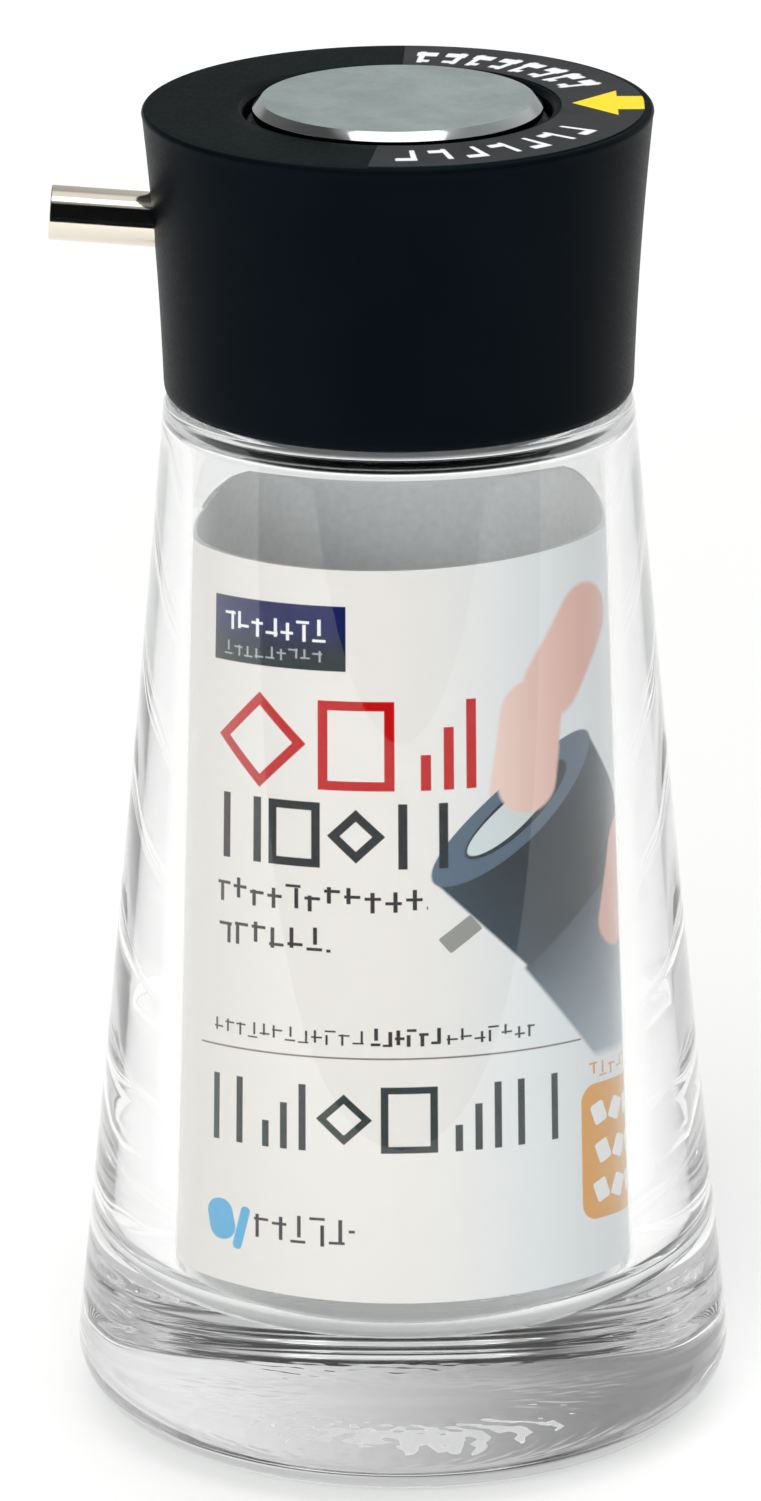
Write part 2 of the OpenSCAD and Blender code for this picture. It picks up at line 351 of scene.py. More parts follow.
def glassProfile():
    # dish under the foot, foot corner, bowed side, shoulder, neck, then down the inside to the floor
    corner, ring = glass["footCorner"], bottleRadius - glass["footCorner"]
    dishRadius, dish = ring - glass["footRing"], glass["footDish"]
    sphere = (dishRadius ** 2 + dish ** 2) / (2 * dish)
    rise = glass["shoulder"] - corner - glass["shoulderCorner"]
    lean = math.degrees(math.atan((bottleRadius - glass["shoulderRadius"]) / rise))
    foot = arcPoints((ring, corner), corner, -90, lean, 24)
    head = (glass["shoulderRadius"] - glass["shoulderCorner"], glass["shoulder"] - glass["shoulderCorner"])
    shoulder = arcPoints(head, glass["shoulderCorner"], lean, 90, 12)
    edge, bore = glass["neckEdge"], glass["neckRadius"] - glass["neckWall"]
    soft = glass["neckFillet"]
    fillet, roof = glass["floorFillet"], glass["roofFillet"]
    return np.concatenate([
        arcPoints((0, dish - sphere), sphere, 90, math.degrees(math.asin(1 - dish / sphere)), 20),
        foot,
        bowedSide(foot[-1], shoulder[0], glass["sideBow"]),
        shoulder,
        [[glass["neckRadius"] + soft, glass["shoulder"]]],
        arcPoints((glass["neckRadius"] + soft, glass["shoulder"] + soft), soft, -90, -180, 4),
        arcPoints((glass["neckRadius"] - edge, neckTop - edge), edge, 0, 90, 5),
        arcPoints((bore + edge, neckTop - edge), edge, 90, 180, 5),
        arcPoints((bore + edge, roofHeight + edge), edge, 180, 270, 5),
        arcPoints((cavityHead[0] - roof, cavityHead[1]), roof, 90, 0, 10),
        arcPoints((cavityFoot[0] - fillet, cavityFoot[1]), fillet, 0, -90, 16),
        [[0, glass["base"]]]])


def glassRipple(a, r, z):
    # adds to r: slow waves inside and out, stronger ones at the foot's left and right, and a seam
    # bead exp(-(above / half)^2); adds to z: chill marks in the dish and waves on the cavity's floor
    radius, base = cavityRadius(z), glass["base"]
    inside = ((z > base - 0.01) & (r < radius + 0.05) & (z < roofHeight + 0.1)).astype(float)
    outside = (z > glass["footCorner"]) & (r > radius + 0.5) & (z < glass["shoulder"] - 2)
    dr = inside * glass["innerWave"] * waves(a, z, *glass["innerSet"])
    dr = dr + outside * glass["outerWave"] * waves(a, z, *glass["outerSet"])
    beside = smoothStep(abs(np.cos(a)), *glass["footSides"]) * (1 - smoothStep(z, *glass["footFade"]))
    dr = dr + outside * beside * glass["footWave"] * waves(a, z, *glass["footSet"])
    above = z - glass["footCorner"] - glass["seamAbove"]
    dr = dr + outside * glass["seam"] * np.exp(-(above / glass["seamHalf"]) ** 2)
    x, y = r * np.cos(a), r * np.sin(a)
    under = (z < glass["footDish"] + 0.01) * ring(r, glass["chillRing"])
    dz = under * glass["chill"] * flatWaves(x, y, *glass["chillSet"])
    cavityFloor = (abs(z - base) < 0.01) * ring(r, glass["floorRing"])
    dz = dz + cavityFloor * glass["floorWave"] * flatWaves(x, y, *glass["floorSet"])
    return dr, np.maximum(dz, -z)


bottle = lathe("bottleGlass", subdivided(glassProfile(), 1.0), 320, ripple=glassRipple)
bottleFinish = Finish("clearGlass")
clear = bottleFinish.principled(
    Base_Color=glass["colour"], Roughness=0.0, IOR=glass["ior"], Transmission_Weight=1.0)
letThrough = bottleFinish.add("ShaderNodeBsdfTransparent", {"Color": glass["shade"]})
rays = bottleFinish.add("ShaderNodeLightPath").outputs
shader = clear.outputs[0]
# diffuse and shadow rays go straight through, so that no lamp is counted twice
for kind in ("Is Diffuse Ray", "Is Shadow Ray"):
    shader = bottleFinish.add(
        "ShaderNodeMixShader", {0: rays[kind], 1: shader, 2: letThrough.outputs[0]}).outputs[0]
bottleFinish.link(shader, bottleFinish.output.inputs["Surface"])
finishWith(bottle, [bottleFinish], "bottle_body", "bottle")
print("bottle made")


# rolled paper insert; overlap, seamTurn and slope are in degrees
paper = {
    "thick": 0.35, "gap": 0.25, "overlap": 14.0, "seamTurn": 80.0, "dip": 0.06, "dipFrom": -0.02,
    "dipTo": 0.22, "slope": 1.8, "middle": 93.2, "rows": 61, "columns": 361,
    # warm is the paper's own tone; cool is a painted cooler light on the right of the print
    "warm": tone(240, 233, 229), "paintedCoolLight": tone(238, 240, 244), "inner": tone(250, 250, 251),
    "edge": tone(250, 250, 250),
}


def paperMesh():
    # (R sin a, -R cos a, z) for the turns a from seamTurn - half to seamTurn + half, where R is the
    # cavity's radius less the gap and, near one end, a dip that takes it inside the other end; the
    # top edge is at middle + x * tan(slope)
    half = math.radians(180 + paper["overlap"] / 2)
    seamTurn = math.radians(paper["seamTurn"])
    a = np.linspace(-half, half, paper["columns"])[None, :] + seamTurn
    middle, slope = paper["middle"], math.radians(paper["slope"])
    top = middle + cavityRadius(middle) * np.sin(a) * math.tan(slope)
    z = paperLow[2] + (top - paperLow[2]) * np.linspace(0, 1, paper["rows"])[:, None]
    start = seamTurn - math.radians(180 - paper["overlap"] / 2)
    stays = smoothStep(a, start + paper["dipFrom"], start + paper["dipTo"])
    dip = (paper["thick"] + paper["dip"]) * (1 - stays)
    outer = cavityRadius(z) - paper["gap"] - dip
    layers, places = [], []
    for r in (outer, outer - paper["thick"]):
        layers.append(np.stack([r * np.sin(a), -r * np.cos(a), z + 0 * a], -1))
        places.append(np.stack([outer * a, z + 0 * a, 0 * outer * a], -1))
    rows, columns = layers[0].shape[:2]
    points = np.concatenate([p.reshape(-1, 3) for p in layers])
    sheet = gridFaces(rows, columns)
    count = rows * columns
    index = np.arange(count).reshape(rows, columns)
    strips = []
    for line in (index[0], index[-1][::-1], index[:, 0][::-1], index[:, -1]):
        strips.append(np.stack([line[:-1], line[:-1] + count, line[1:] + count, line[1:]], 1))
    quads = np.concatenate([sheet, sheet[:, ::-1] + count] + strips)
    kinds = np.concatenate([np.full(len(sheet), 0), np.full(len(sheet), 1),
                            np.full(sum(map(len, strips)), 2)])
    return points, quads, kinds, np.concatenate([p.reshape(-1, 3) for p in places])


points, quads, kinds, places = paperMesh()
paperPiece = makePiece("paperInsert", points, quads)
paperPiece.data.polygons.foreach_set("material_index", kinds)
attribute = paperPiece.data.attributes.new("printPlace", "FLOAT_VECTOR", "POINT")
attribute.data.foreach_set("vector", places.ravel())


# print, in millimetres: u runs round the paper from the middle of the front, and v is the height;
# each row of signs stands for a line of wording and is made of plain shapes only
printed = {
    "sag": 0.0022, "slope": 0.012,
    "navy": tone(18, 28, 90), "navyLow": tone(12, 30, 38), "navyCentre": (-12.25, 86.3),
    "navyHalf": (7.15, 3.25), "pictureTop": (11.2, 68.3, 0), "pictureTurn": -38.5,
    "red": tone(196, 8, 10), "dark": tone(14, 22, 26), "green": tone(12, 36, 38),
    "rule": tone(120, 108, 104), "blue": tone(82, 176, 222), "orange": tone(232, 160, 42),
    "white": tone(250, 250, 250),
    "slate": tone(26, 40, 50), "slateEdge": tone(46, 62, 76), "slateLight": tone(88, 106, 126),
    "flask": tone(62, 78, 92), "flaskLow": tone(196, 208, 220), "well": tone(30, 40, 48),
    "plate": tone(216, 222, 224), "spout": tone(150, 150, 146), "peach": tone(236, 178, 164),
    "peachLight": tone(244, 214, 204), "small": tone(170, 180, 186), "grain": tone(205, 203, 200),
}
# colour, line width, height of the middle, half height, then (kind, centre u, half width)
signRows = [
    ("red", 0.95, 75.6, 4.5, [("diamond", -13.8, 4.6), ("frame", -4.2, 3.6), ("steps", 4.4, 2.6)]),
    ("dark", 0.85, 66.5, 3.3, [("posts", -15.8, 2.2), ("frame", -10.2, 2.6), ("diamond", -4.2, 2.6),
                               ("posts", 2.0, 2.3)]),
    ("green", 0.7, 37.6, 3.4, [("posts", -17.2, 1.7), ("steps", -11.2, 2.2), ("diamond", -5.4, 2.5),
                               ("frame", 0.6, 2.6), ("steps", 7.0, 2.2), ("posts", 12.9, 2.1)]),
]


def signMasks(finish, place, row):
    # a frame, a diamond, two posts or three rising steps at each place in the row
    line, v, tall, signs = row[1:]
    masks = []
    for kind, u, wide in signs:
        if kind == "frame":
            masks.append(finish.outline(place, (u, v), (wide, tall), line))
        elif kind == "diamond":
            side = wide * 0.74
            masks.append(finish.outline(place, (u, v), (side, side), line, 45))
        elif kind == "posts":
            for s in (-1, 1):
                masks.append(finish.boxMask(place, (u + s * (wide - line / 2), v), (line / 2, tall)))
        else:
            for s, part in ((-1, 0.4), (0, 0.7), (1, 1.0)):
                middle = (u + s * (wide - line / 2), v - tall * (1 - part))
                masks.append(finish.boxMask(place, middle, (line / 2, tall * part)))
    return masks


def paperFront():
    # v is lowered by u * (slope - sag * u), and each later mask is laid over the colours before it
    finish = Finish("printedPaper")
    raw = finish.add("ShaderNodeAttribute", attribute_name="printPlace").outputs["Vector"]
    axes = finish.add("ShaderNodeSeparateXYZ", {0: raw}).outputs
    slope = finish.maths("MULTIPLY_ADD", axes[0], printed["sag"], -printed["slope"])
    sagged = finish.maths("MULTIPLY_ADD", axes[0], slope, axes[1])
    place = finish.add("ShaderNodeCombineXYZ", {0: axes[0], 1: sagged}).outputs[0]
    # the ground turns from the warm paper to a painted cooler light towards the right
    groundWithPaintedLight = finish.mix(finish.ramp(axes[0], 0, 14), paper["warm"], paper["paintedCoolLight"])
    grain = finish.noise(finish.objectPlace(), 900, 4, 0.6)
    colour = finish.mix(finish.ramp(grain, 0.35, 0.65, 0, 0.05), groundWithPaintedLight, printed["grain"])

    def lay(colour, mask, ink):
        return finish.mix(mask, colour, ink)

    def oval(centred, half, edge=1.03):  # 1 where |(u, v) / half| is below 0.99, 0 past edge
        scaled = finish.vector("MULTIPLY", centred, (1 / half[0], 1 / half[1], 0))
        return finish.ramp(finish.vector("LENGTH", scaled), edge, 0.99)

    # picture: a slate cap tilted over a pale flask, with soft peach bars
    turned = finish.add("ShaderNodeVectorRotate", {
        "Vector": place, "Center": printed["pictureTop"], "Angle": math.radians(printed["pictureTurn"])},
        rotation_type="Z_AXIS").outputs[0]
    turned = finish.vector("SUBTRACT", turned, printed["pictureTop"])
    turnedAxes = finish.add("ShaderNodeSeparateXYZ", {0: turned}).outputs
    down = finish.maths("MULTIPLY", turnedAxes[1], -1.0)
    across = finish.maths("ABSOLUTE", turnedAxes[0])
    # flask: narrower than its side line and below the cap, fading downwards
    flaskSide = finish.maths("ADD", across, finish.maths("MULTIPLY", down, -0.02))
    flask = finish.maths("MULTIPLY", finish.ramp(flaskSide, 9.6, 9.2), finish.ramp(down, 12.6, 13.0))
    flask = finish.maths("MULTIPLY", flask, finish.ramp(sagged, 41.5, 42.5))
    flaskInk = finish.mix(finish.ramp(down, 13, 33), printed["flask"], printed["flaskLow"])
    colour = lay(colour, flask, flaskInk)
    peach = finish.union([
        finish.boxMask(place, (17.2, 83.6), (3.4, 7.0), 3.4, -35, 0.5),
        finish.boxMask(place, (12.2, 74.2), (3.4, 7.2), 3.4, -8, 0.4)])
    peachInk = finish.mix(finish.ramp(axes[0], 9, 19), printed["peachLight"], printed["peach"])
    colour = lay(colour, peach, peachInk)
    capSide = finish.maths("ADD", across, finish.maths("MULTIPLY", down, 0.09))
    capBody = finish.maths("MULTIPLY", finish.ramp(capSide, 10.6, 10.3), finish.ramp(down, -0.4, 0.0))
    capBody = finish.maths("MULTIPLY", capBody, finish.ramp(down, 13.2, 12.9))
    capInk = finish.mix(finish.ramp(across, 3, 10), printed["slate"], printed["slateEdge"])
    colour = lay(colour, capBody, capInk)
    colour = lay(colour, oval(turned, (10.5, 3.1), 1.02), printed["slateLight"])
    colour = lay(colour, oval(turned, (6.6, 1.9)), printed["well"])
    plateMiddle = finish.vector("SUBTRACT", turned, (-0.6, 0.1, 0))
    colour = lay(colour, oval(plateMiddle, (5.7, 1.5)), printed["plate"])
    colour = lay(colour, finish.boxMask(place, (12.4, 72.6), (3.1, 4.6), 3.0, -8, 0.4), peachInk)
    colour = lay(colour, finish.boxMask(place, (5.4, 56.4), (1.9, 0.95), 0.2, 38), printed["spout"])
    colour = lay(colour, finish.boxMask(place, (24.2, 59.0), (2.9, 6.6), 2.9, -14, 0.4), printed["peach"])

    # fields of colour and rows of signs
    navyInk = finish.mix(finish.ramp(sagged, 84.6, 87.2), printed["navyLow"], printed["navy"])
    colour = lay(colour, finish.boxMask(place, printed["navyCentre"], printed["navyHalf"]), navyInk)
    colour = lay(colour, finish.marks(place, -18.2, -6.9, 87.0, 1.15, 1.62, 0.34, 3), printed["white"])
    colour = lay(colour, finish.marks(place, -18.2, -7.2, 84.4, 0.7, 1.22, 0.2, 9), printed["small"])
    for row in signRows:
        colour = lay(colour, finish.union(signMasks(finish, place, row)), printed[row[0]])
    small = finish.union([
        finish.marks(place, -18.8, 2.4, 60.0, 1.3, 1.9, 0.4, 21),
        finish.marks(place, -18.6, -6.6, 55.8, 1.3, 1.9, 0.4, 37),
        finish.marks(place, -19.0, -3.4, 46.0, 0.8, 1.3, 0.22, 51),
        finish.marks(place, -3.0, 3.6, 46.1, 0.95, 1.1, 0.36, 57),
        finish.marks(place, 3.9, 12.6, 46.0, 0.8, 1.3, 0.24, 63),
        finish.marks(place, -14.4, -4.4, 25.9, 1.5, 1.85, 0.36, 71)])
    colour = lay(colour, small, printed["dark"])
    colour = lay(colour, finish.boxMask(place, (-1.4, 43.9), (19.2, 0.09), soft=0.1), printed["rule"])
    drop = finish.union([
        finish.boxMask(place, (-17.9, 26.0), (1.5, 2.1), 1.4, 12),
        finish.boxMask(place, (-15.6, 25.4), (0.5, 2.3), 0.45, -14)])
    colour = lay(colour, drop, printed["blue"])
    colour = lay(colour, finish.boxMask(place, (23.6, 32.0), (5.9, 7.0), 1.8), printed["orange"])
    white = finish.union([
        finish.boxMask(place, (u, v), (0.85, 1.1), 0.3, tilt)
        for v, shift in ((35.9, 0.0), (31.9, 0.5), (27.9, 0.2))
        for u, tilt in ((19.9 + shift, 20), (22.3 + shift, -25), (24.6 + shift, 8), (27.0 + shift, -12))])
    colour = lay(colour, white, printed["white"])
    colour = lay(colour, finish.marks(place, 18.6, 28.6, 40.4, 0.8, 1.3, 0.26, 81), printed["orange"])
    finish.principled(
        Base_Color=colour, Roughness=0.6, Specular_IOR_Level=0.12,
        Normal=finish.bump(grain, 0.12, 0.0001))
    return finish


def paperPlain(name, colour, fibre):
    # fine fibres that darken the colour by up to 14 percent times fibre
    finish = Finish(name)
    grain = finish.noise(finish.objectPlace(), 1200, 5, 0.65)
    shade = tuple(c * 0.86 for c in colour[:3]) + (1,)
    finish.principled(
        Base_Color=finish.mix(finish.ramp(grain, 0.3, 0.7, 0, fibre), colour, shade),
        Roughness=0.8, Normal=finish.bump(grain, 0.2, 0.0001))
    return finish


paperFinishes = [
    paperFront(), paperPlain("paperBack", paper["inner"], 0.8), paperPlain("paperEdge", paper["edge"], 0.2)]
finishWith(paperPiece, paperFinishes, "bottle_body", "paper_insert")
print("paper made")


# mouth plug: a shallow dip underneath, a rounded foot edge and a flange over the glass
plug = {
    "clear": 0.15, "dip": 0.3, "dipRim": 2.2, "dipFoot": 1.9, "flange": 0.5, "edge": 0.4,
    "colour": tone(16, 17, 19),
}
plugRadius = glass["neckRadius"] - glass["neckWall"] - plug["clear"]
flangeLow = plugHigh[2] - plug["flange"]
plugPiece = lathe("mouthPlug", np.concatenate([
    [[0, plugLow[2] + plug["dip"]], [plugRadius - plug["dipRim"], plugLow[2] + plug["dip"]]],
    [[plugRadius - plug["dipFoot"], plugLow[2]]],
    arcPoints((plugRadius - plug["edge"], plugLow[2] + plug["edge"]), plug["edge"], -90, 0, 5),
    [[plugRadius, flangeLow], [plugHigh[0], flangeLow], [plugHigh[0], plugHigh[2]], [0, plugHigh[2]]]]), 160)
plugFinish = Finish("blackPlug")
plugFinish.principled(
    Base_Color=plug["colour"], Specular_IOR_Level=0.5,
    Roughness=plugFinish.ramp(plugFinish.noise(plugFinish.objectPlace(), 300), 0.3, 0.7, 0.16, 0.24))
finishWith(plugPiece, [plugFinish], "bottle_body", "mouth_plug")


# cap; bevelSoft is how far the well's bevel runs on over the top, down from it and into the well
cap = {
    "footRadius": 23.1, "bow": 0.28, "edge": 0.45, "footEdge": 1.1, "recess": 19.0,
    "wellRadius": 15.1, "wellBevel": 0.45, "bevelSoft": (0.08, 0.03, 0.06), "wellFloor": 9.4,
    # top and topPaintedSheenDark are the same black with a painted teal sheen, used on the top faces
    "colour": tone(5, 9, 14), "dark": tone(3, 6, 10), "top": tone(8, 19, 21), "topPaintedSheenDark": tone(6, 14, 16),
}
capLowEdge = capLow[2]


def capProfile():
    # neck recess, foot corner, bowed side, top edge, bevelled well and its floor
    footEdge = cap["footEdge"]
    foot = arcPoints((cap["footRadius"] - footEdge, capLowEdge + footEdge), footEdge, -90, 0, 12)
    top = arcPoints((capHigh[0] - cap["edge"], capTop - cap["edge"]), cap["edge"], 0, 90, 10)
    side = bowedSide((cap["footRadius"], capLowEdge), (capHigh[0], capTop), cap["bow"])
    side = side[(side[:, 1] > capLowEdge + footEdge) & (side[:, 1] < capTop - cap["edge"])]
    well, bevel = cap["wellRadius"], cap["wellBevel"]
    over, down, into = cap["bevelSoft"]
    return np.concatenate([
        [[0, plugHigh[2]], [cap["recess"], plugHigh[2]], [cap["recess"], capLowEdge]],
        foot, side, top,
        [[well + bevel + over, capTop], [well + bevel, capTop - down], [well + into, capTop - bevel + down],
         [well, capTop - bevel - into], [well, capTop - cap["wellFloor"]], [0, capTop - cap["wellFloor"]]]])


capPiece = lathe("screwCap", subdivided(capProfile(), 1.5), 320, sharp=40)
onTop = faceCentres(capPiece)[:, 2] > capTop - 0.1
capPiece.data.polygons.foreach_set("material_index", onTop.astype(int))


def capFinish(name, colour, dark, shine):
    # colour clouds between dark and colour, and fine grain in the roughness and the bump
    finish = Finish(name)
    place = finish.objectPlace()
    fine = finish.noise(place, 2600, 3, 0.6)
    broad = finish.noise(place, 60, 2, 0.5)
    finish.principled(
        Base_Color=finish.mix(finish.ramp(broad, 0.3, 0.7), dark, colour),
        Roughness=finish.ramp(fine, 0.3, 0.7, 0.34, 0.44), Specular_IOR_Level=shine,
        Specular_Tint=(0.7, 0.97, 1, 1), Normal=finish.bump(fine, 0.25, 0.00004))
    return finish


# the top faces get a lit copy of the black: its sheen is painted into the colour, with less shine
capFinishes = [capFinish("satinBlack", cap["colour"], cap["dark"], 0.03),
               capFinish("satinBlackTopPaintedSheen", cap["top"], cap["topPaintedSheenDark"], 0.009)]
finishWith(capPiece, capFinishes, "bottle_body", "cap")


# sticker on the cap; each row of strokes is its first and last angle and the step between strokes
sticker = {
    "inner": 16.0, "outer": 24.1, "front": -97.0, "back": 88.0, "edge": 0.05,
    "backRow": (24, 82, 8.2), "frontRow": (-88, -24, 9.4), "arrowTip": 17.0, "arrowBase": 21.4,
    "film": tone(24, 30, 35), "smear": tone(16, 21, 25), "ink": tone(246, 247, 248),
    "yellow": tone(252, 226, 20),
}


def stickerMesh():
    # (r cos a, r sin a, z): r follows the bevelled section of the film and a runs from front to back
    thick, edge = stickerHigh[2] - stickerLow[2], sticker["edge"]
    low, high, inner, outer = stickerLow[2], stickerHigh[2], sticker["inner"], sticker["outer"]
    section = np.array([(inner, low), (inner, high - edge), (inner + edge, high)]
                       + [(r, high) for r in np.linspace(inner + 1, outer - 1, 6)]
                       + [(outer - edge, high), (outer, high - edge), (outer, low)])
    a = np.radians(np.linspace(sticker["front"], sticker["back"], 181))[:, None]
    points = np.stack([section[:, 0] * np.cos(a), section[:, 0] * np.sin(a), section[:, 1] + 0 * a], -1)
    quads = gridFaces(len(a), len(section), False, True)
    count = len(section)
    middle = (count - 1) // 2
    ends = []
    for start in (0, (len(a) - 1) * count):
        for k in range(middle):
            ends.append([start + k, start + k + 1, start + count - 2 - k, start + count - 1 - k])
    ends = np.array(ends)
    ends[middle:] = ends[middle:, ::-1]
    return points.reshape(-1, 3), np.concatenate([quads, ends])


stickerPiece = makePiece("capSticker", *stickerMesh(), sharp=30)


def stickerFinish():
    finish = Finish("printedFilm")
    local = finish.vector("SCALE", finish.objectPlace())
    local.node.inputs["Scale"].default_value = 1 / mm
    axes = finish.add("ShaderNodeSeparateXYZ", {0: local}).outputs
    flat = finish.add("ShaderNodeCombineXYZ", {0: axes[0], 1: axes[1]}).outputs[0]
    turn = finish.maths("MULTIPLY", finish.maths("ARCTAN2", axes[1], axes[0]), 180 / math.pi)
    polar = finish.add("ShaderNodeCombineXYZ", {0: turn, 1: finish.vector("LENGTH", flat)}).outputs[0]
    # rows of plain strokes, each as its centre and half size in (degrees, radius)
    strokes = []
    for k, angle in enumerate(np.arange(*sticker["backRow"])):
        post = angle + (1.4 if k % 2 else -1.4)
        strokes += [((angle, 20.6), (2.9, 0.75)), ((post, 19.4), (0.9, 2.2)),
                    ((angle, 17.9), (2.4 - 0.8 * (k % 2), 0.45))]
    for k, angle in enumerate(np.arange(*sticker["frontRow"])):
        strokes += [((angle, 21.4 - 2.6 * (k % 2)), (2.8, 0.5)), ((angle + 2.0, 19.9), (0.75, 1.9))]
    strokes = [finish.boxMask(polar, centre, half, 0.3, 0, 0.3) for centre, half in strokes]
    # arrow: a bar and a triangle |y| < (x - tip) * slope, for x up to the head's base
    bar = finish.boxMask(flat, (22.5, 0.3), (1.5, 2.6), 0.25, 0, 0.08)
    beside = finish.maths("ABSOLUTE", finish.maths("SUBTRACT", axes[1], 0.3))
    along = finish.maths("MULTIPLY", finish.maths("SUBTRACT", axes[0], sticker["arrowTip"]), 1.1)
    head = finish.ramp(finish.maths("SUBTRACT", along, beside), -0.05, 0.05)
    base = sticker["arrowBase"]
    head = finish.maths("MULTIPLY", head, finish.ramp(axes[0], base + 0.05, base - 0.05))
    smear = finish.noise(finish.objectPlace(), 180, 3, 0.6)
    film = finish.mix(finish.ramp(smear, 0.3, 0.7, 0, 0.5), sticker["film"], sticker["smear"])
    colour = finish.mix(finish.union(strokes), film, sticker["ink"])
    colour = finish.mix(finish.maths("MAXIMUM", bar, head), colour, sticker["yellow"])
    finish.principled(
        Base_Color=colour, Roughness=finish.ramp(smear, 0.3, 0.7, 0.2, 0.3), Specular_IOR_Level=0.03)
    return finish


finishWith(stickerPiece, [stickerFinish()], "bottle_body", "cap_sticker")
print("cap made")


# spout; tilt is in degrees
spout = {"radius": 2.7, "wall": 0.45, "tilt": 4.5, "round": 0.16, "colour": tone(228, 220, 206)}


def spoutPiece():
    # a closed tube section turned about its own axis, then tilted up from -X
    r, wall, edge, tilt = spout["radius"], spout["wall"], spout["round"], math.radians(spout["tilt"])
    # the tip's rim is the box's lowest x, and the root's rim its highest x
    reach = (spoutHigh[0] - spoutLow[0] - 2 * r * math.sin(tilt)) / math.cos(tilt)
    outer, inner = r - edge, r - wall + edge
    section = np.concatenate([
        arcPoints((outer, edge), edge, -90, 0, 5), arcPoints((outer, reach - edge), edge, 0, 90, 5),
        arcPoints((inner, reach - edge), edge, 90, 180, 5), arcPoints((inner, edge), edge, 180, 270, 5)])
    out = np.array([-math.cos(tilt), 0, math.sin(tilt)])
    up = np.array([math.sin(tilt), 0, math.cos(tilt)])
    root = np.array([spoutHigh[0] - r * math.sin(tilt), 0, spoutLow[2] + r * math.cos(tilt)])
    place = np.eye(4)
    place[:3, 0], place[:3, 1], place[:3, 2], place[:3, 3] = up, np.cross(out, up), out, root
    return lathe("spoutTube", section, 128, closed=True, place=place, sharp=50)


spoutTube = spoutPiece()
spoutFinish = Finish("polishedSteel")
streak = spoutFinish.add("ShaderNodeMapping", {
    "Vector": spoutFinish.objectPlace(), "Scale": (0.03, 1, 1)}).outputs[0]
drawn = spoutFinish.noise(streak, 2500, 3, 0.6)
spoutFinish.principled(
    Base_Color=spout["colour"], Metallic=1.0, Roughness=spoutFinish.ramp(drawn, 0.3, 0.7, 0.06, 0.13),
    Normal=spoutFinish.bump(drawn, 0.05, 0.00002))
finishWith(spoutTube, [spoutFinish], "bottle_body", "spout")
print("spout made")


# push button: plate and carrier
plate = {
    "bevel": 0.83, "round": 0.07, "foot": 0.1, "face": tone(204, 219, 217), "cloud": tone(168, 184, 183),
    "rim": tone(176, 180, 180),
}
carrier = {"edge": 0.2, "colour": tone(12, 13, 14)}


def plateProfile():
    # flat underside, short side, rounded bevel and flat face
    r, low, high = plateHigh[0], plateLow[2], plateHigh[2]
    bevel, soft, foot = plate["bevel"], plate["round"], plate["foot"]
    reach = soft * math.tan(math.radians(22.5))
    lowCorner = (r - soft, high - bevel - reach)
    highCorner = (r - bevel - reach, high - soft)
    return np.concatenate([
        [[0, low], [r - foot, low], [r, low + foot]],
        arcPoints(lowCorner, soft, 0, 45, 4), arcPoints(highCorner, soft, 45, 90, 4), [[0, high]]])


platePiece = lathe("pushPlate", subdivided(plateProfile(), 1.5), 256, sharp=60)
centres = faceCentres(platePiece)
onRim = np.hypot(centres[:, 0], centres[:, 1]) > plateHigh[0] - plate["bevel"]
platePiece.data.polygons.foreach_set("material_index", onRim.astype(int))

faceFinish = Finish("satinSteel")
facePlace = faceFinish.objectPlace()
speckle = faceFinish.noise(facePlace, 3800, 2, 0.7)
cloud = faceFinish.noise(facePlace, 150, 6, 0.7)
faceFinish.principled(
    Base_Color=faceFinish.mix(faceFinish.ramp(cloud, 0.3, 0.7), plate["cloud"], plate["face"]),
    Metallic=1.0, Roughness=faceFinish.ramp(speckle, 0.3, 0.7, 0.3, 0.44),
    Normal=faceFinish.bump(speckle, 0.5, 0.00003))
rimFinish = Finish("polishedRim")
rimFine = rimFinish.noise(rimFinish.objectPlace(), 900)
rimFinish.principled(
    Base_Color=plate["rim"], Metallic=1.0, Roughness=rimFinish.ramp(rimFine, 0.3, 0.7, 0.05, 0.1))
finishWith(platePiece, [faceFinish, rimFinish], "button", "push_plate")


def carrierProfile():
    # a disc with both edges cut at 45 degrees
    r, low, high, edge = carrierHigh[0], carrierLow[2], carrierHigh[2], carrier["edge"]
    return [(0, low), (r - edge, low), (r, low + edge), (r, high - edge), (r - edge, high), (0, high)]


carrierPiece = lathe("pushCarrier", carrierProfile(), 192)
carrierFinish = Finish("mattBlack")
carrierGrain = carrierFinish.noise(carrierFinish.objectPlace(), 1800)
carrierFinish.principled(
    Base_Color=carrier["colour"], Roughness=carrierFinish.ramp(carrierGrain, 0.3, 0.7, 0.5, 0.65),
    Normal=carrierFinish.bump(carrierGrain, 0.3, 0.00004))
finishWith(carrierPiece, [carrierFinish], "button", "push_carrier")
print("button made")


# floor, sky and lamps, in metres; the sky's strengths change between the places given with them
studio = {
    "floor": tone(252, 252, 251), "floorHalf": 4, "floorHeight": -0.0001,
    "cloth": tone(14, 16, 18), "clothHeight": 0.0002,
    "clothNear": -0.26, "clothFar": -1.0, "clothTall": 1.5, "clothWide": 2.4,
    "horizon": 0.7, "low": 0.2, "lowEnd": 0.36, "above": 1.2, "high": 0.84, "highEnd": 0.96,
    "front": 0.5, "side": 0.42, "behind": 0.72, "frontTo": -0.7, "sideAt": 0.1, "behindFrom": 0.8,
    "left": 0.4, "right": 1.5, "leftTo": -0.5, "rightFrom": 0.5,
}
# place, target, width and depth, watts, and whether reflections and glass show it
lamps = {
    "topBox": ((0.0, -0.22, 0.95), (0, 0, 0.1), (0.75, 0.3), 1.4, True),
    "fill": ((-0.35, -1.2, 0.46), (0, 0, 0.06), (1.4, 0.6), 24, False),
    "backWash": ((0.0, 2.4, 1.0), (0, 2.4, 0), (4.0, 2.2), 60, False),
}


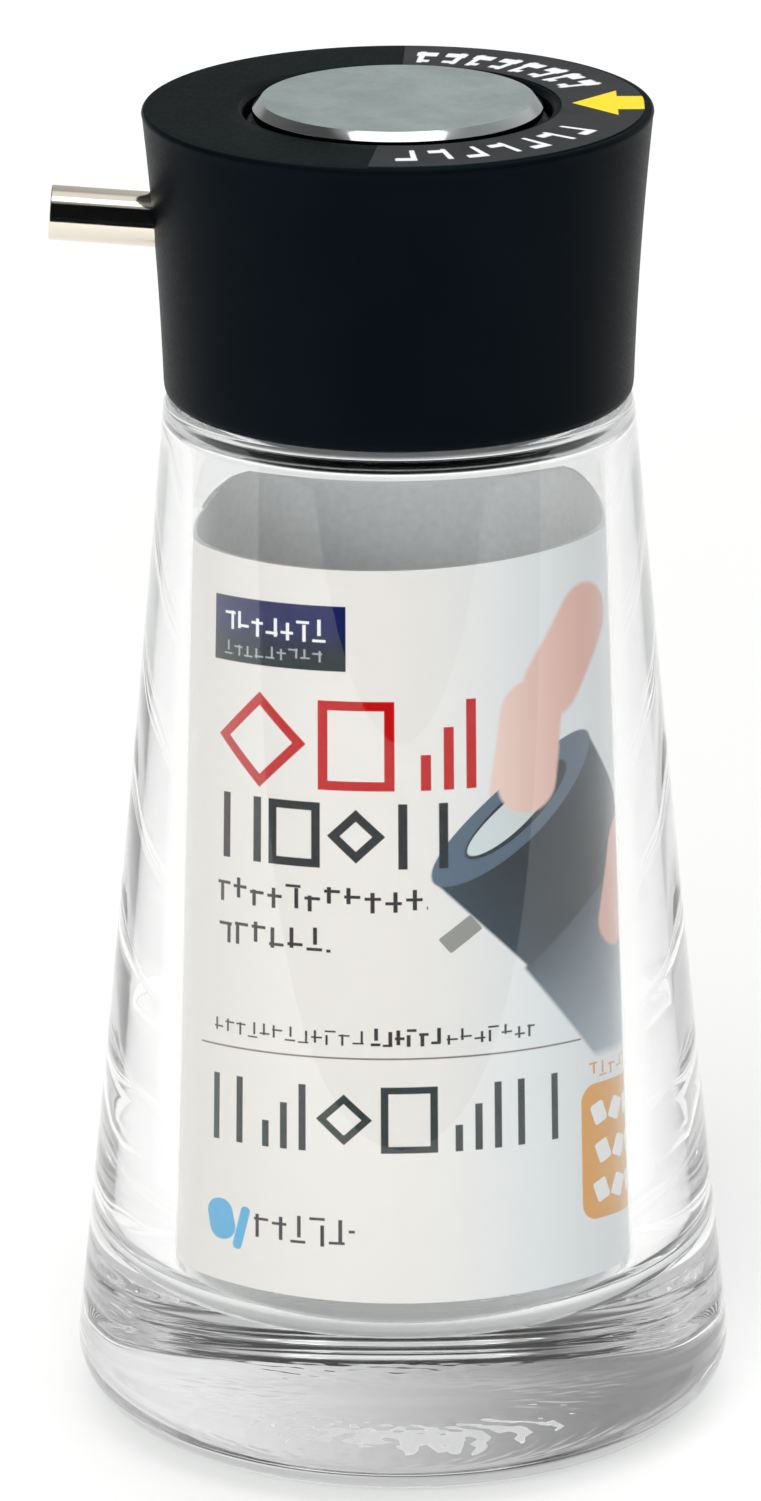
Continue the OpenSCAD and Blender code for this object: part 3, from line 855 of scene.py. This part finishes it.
def board(name, corners, colour):
    # a flat matt rectangle through four corners
    mesh = bpy.data.meshes.new(name)
    mesh.from_pydata(corners, [], [(0, 1, 2, 3)])
    finish = Finish(name + "Matt")
    finish.principled(Base_Color=colour, Roughness=0.9, Specular_IOR_Level=0.0)
    mesh.materials.append(finish.material)
    piece = bpy.data.objects.new(name, mesh)
    scene.collection.objects.link(piece)
    return piece


half, under = studio["floorHalf"], studio["floorHeight"]
board("floor", [(-half, -half, under), (half, -half, under), (half, half, under), (-half, half, under)],
      studio["floor"])
# two dark cloths in front of the table: reflections see both, and glass sees the lying one too
wide, near, far, tall = studio["clothWide"], studio["clothNear"], studio["clothFar"], studio["clothTall"]
over = studio["clothHeight"]
for name, corners in (
        ("lyingCloth", [(-wide, far, over), (wide, far, over), (wide, near, over), (-wide, near, over)]),
        ("hangingCloth", [(-wide, far, 0.0), (wide, far, 0.0), (wide, far, tall), (-wide, far, tall)])):
    cloth = board(name, corners, studio["cloth"])
    cloth.visible_camera = False
    cloth.visible_diffuse = False
    cloth.visible_shadow = False
    cloth.visible_transmission = name == "lyingCloth"


def makeSky():
    # one strength at the horizon, one overhead, and between them front, then side, then behind as y
    # grows, times a factor that grows from left to right as x does
    world = bpy.data.worlds.new("studioSky")
    world.use_nodes = True
    tree = world.node_tree
    tree.nodes.clear()

    def between(value, low, high, outLow, outHigh):
        node = tree.nodes.new("ShaderNodeMapRange")
        node.interpolation_type = "SMOOTHSTEP"
        for k, source in enumerate((value, low, high, outLow, outHigh)):
            if isinstance(source, bpy.types.NodeSocket):
                tree.links.new(source, node.inputs[k])
            else:
                node.inputs[k].default_value = source
        return node.outputs[0]

    axes = tree.nodes.new("ShaderNodeSeparateXYZ")
    tree.links.new(tree.nodes.new("ShaderNodeTexCoord").outputs["Generated"], axes.inputs[0])
    x, y, z = axes.outputs
    middle = between(y, studio["frontTo"], studio["sideAt"], studio["front"], studio["side"])
    middle = between(y, studio["sideAt"], studio["behindFrom"], middle, studio["behind"])
    across = between(x, studio["leftTo"], studio["rightFrom"], studio["left"], studio["right"])
    turned = tree.nodes.new("ShaderNodeMath")
    turned.operation = "MULTIPLY"
    tree.links.new(middle, turned.inputs[0])
    tree.links.new(across, turned.inputs[1])
    lower = between(z, studio["low"], studio["lowEnd"], studio["horizon"], turned.outputs[0])
    total = between(z, studio["high"], studio["highEnd"], lower, studio["above"])
    background = tree.nodes.new("ShaderNodeBackground")
    tree.links.new(total, background.inputs["Strength"])
    output = tree.nodes.new("ShaderNodeOutputWorld")
    tree.links.new(background.outputs[0], output.inputs[0])
    scene.world = world


def softbox(name, place, target, size, power, shows):
    # a flat lamp at place, turned to face target
    lamp = bpy.data.lights.new(name, "AREA")
    lamp.shape = "RECTANGLE"
    lamp.size, lamp.size_y = size
    lamp.energy = power
    piece = bpy.data.objects.new(name, lamp)
    piece.location = place
    aim = Vector(target) - Vector(place)
    piece.rotation_euler = aim.to_track_quat("-Z", "Y").to_euler()
    piece.visible_glossy = shows
    piece.visible_transmission = shows
    scene.collection.objects.link(piece)


makeSky()
for name, values in lamps.items():
    softbox(name, *values)
print("studio made")
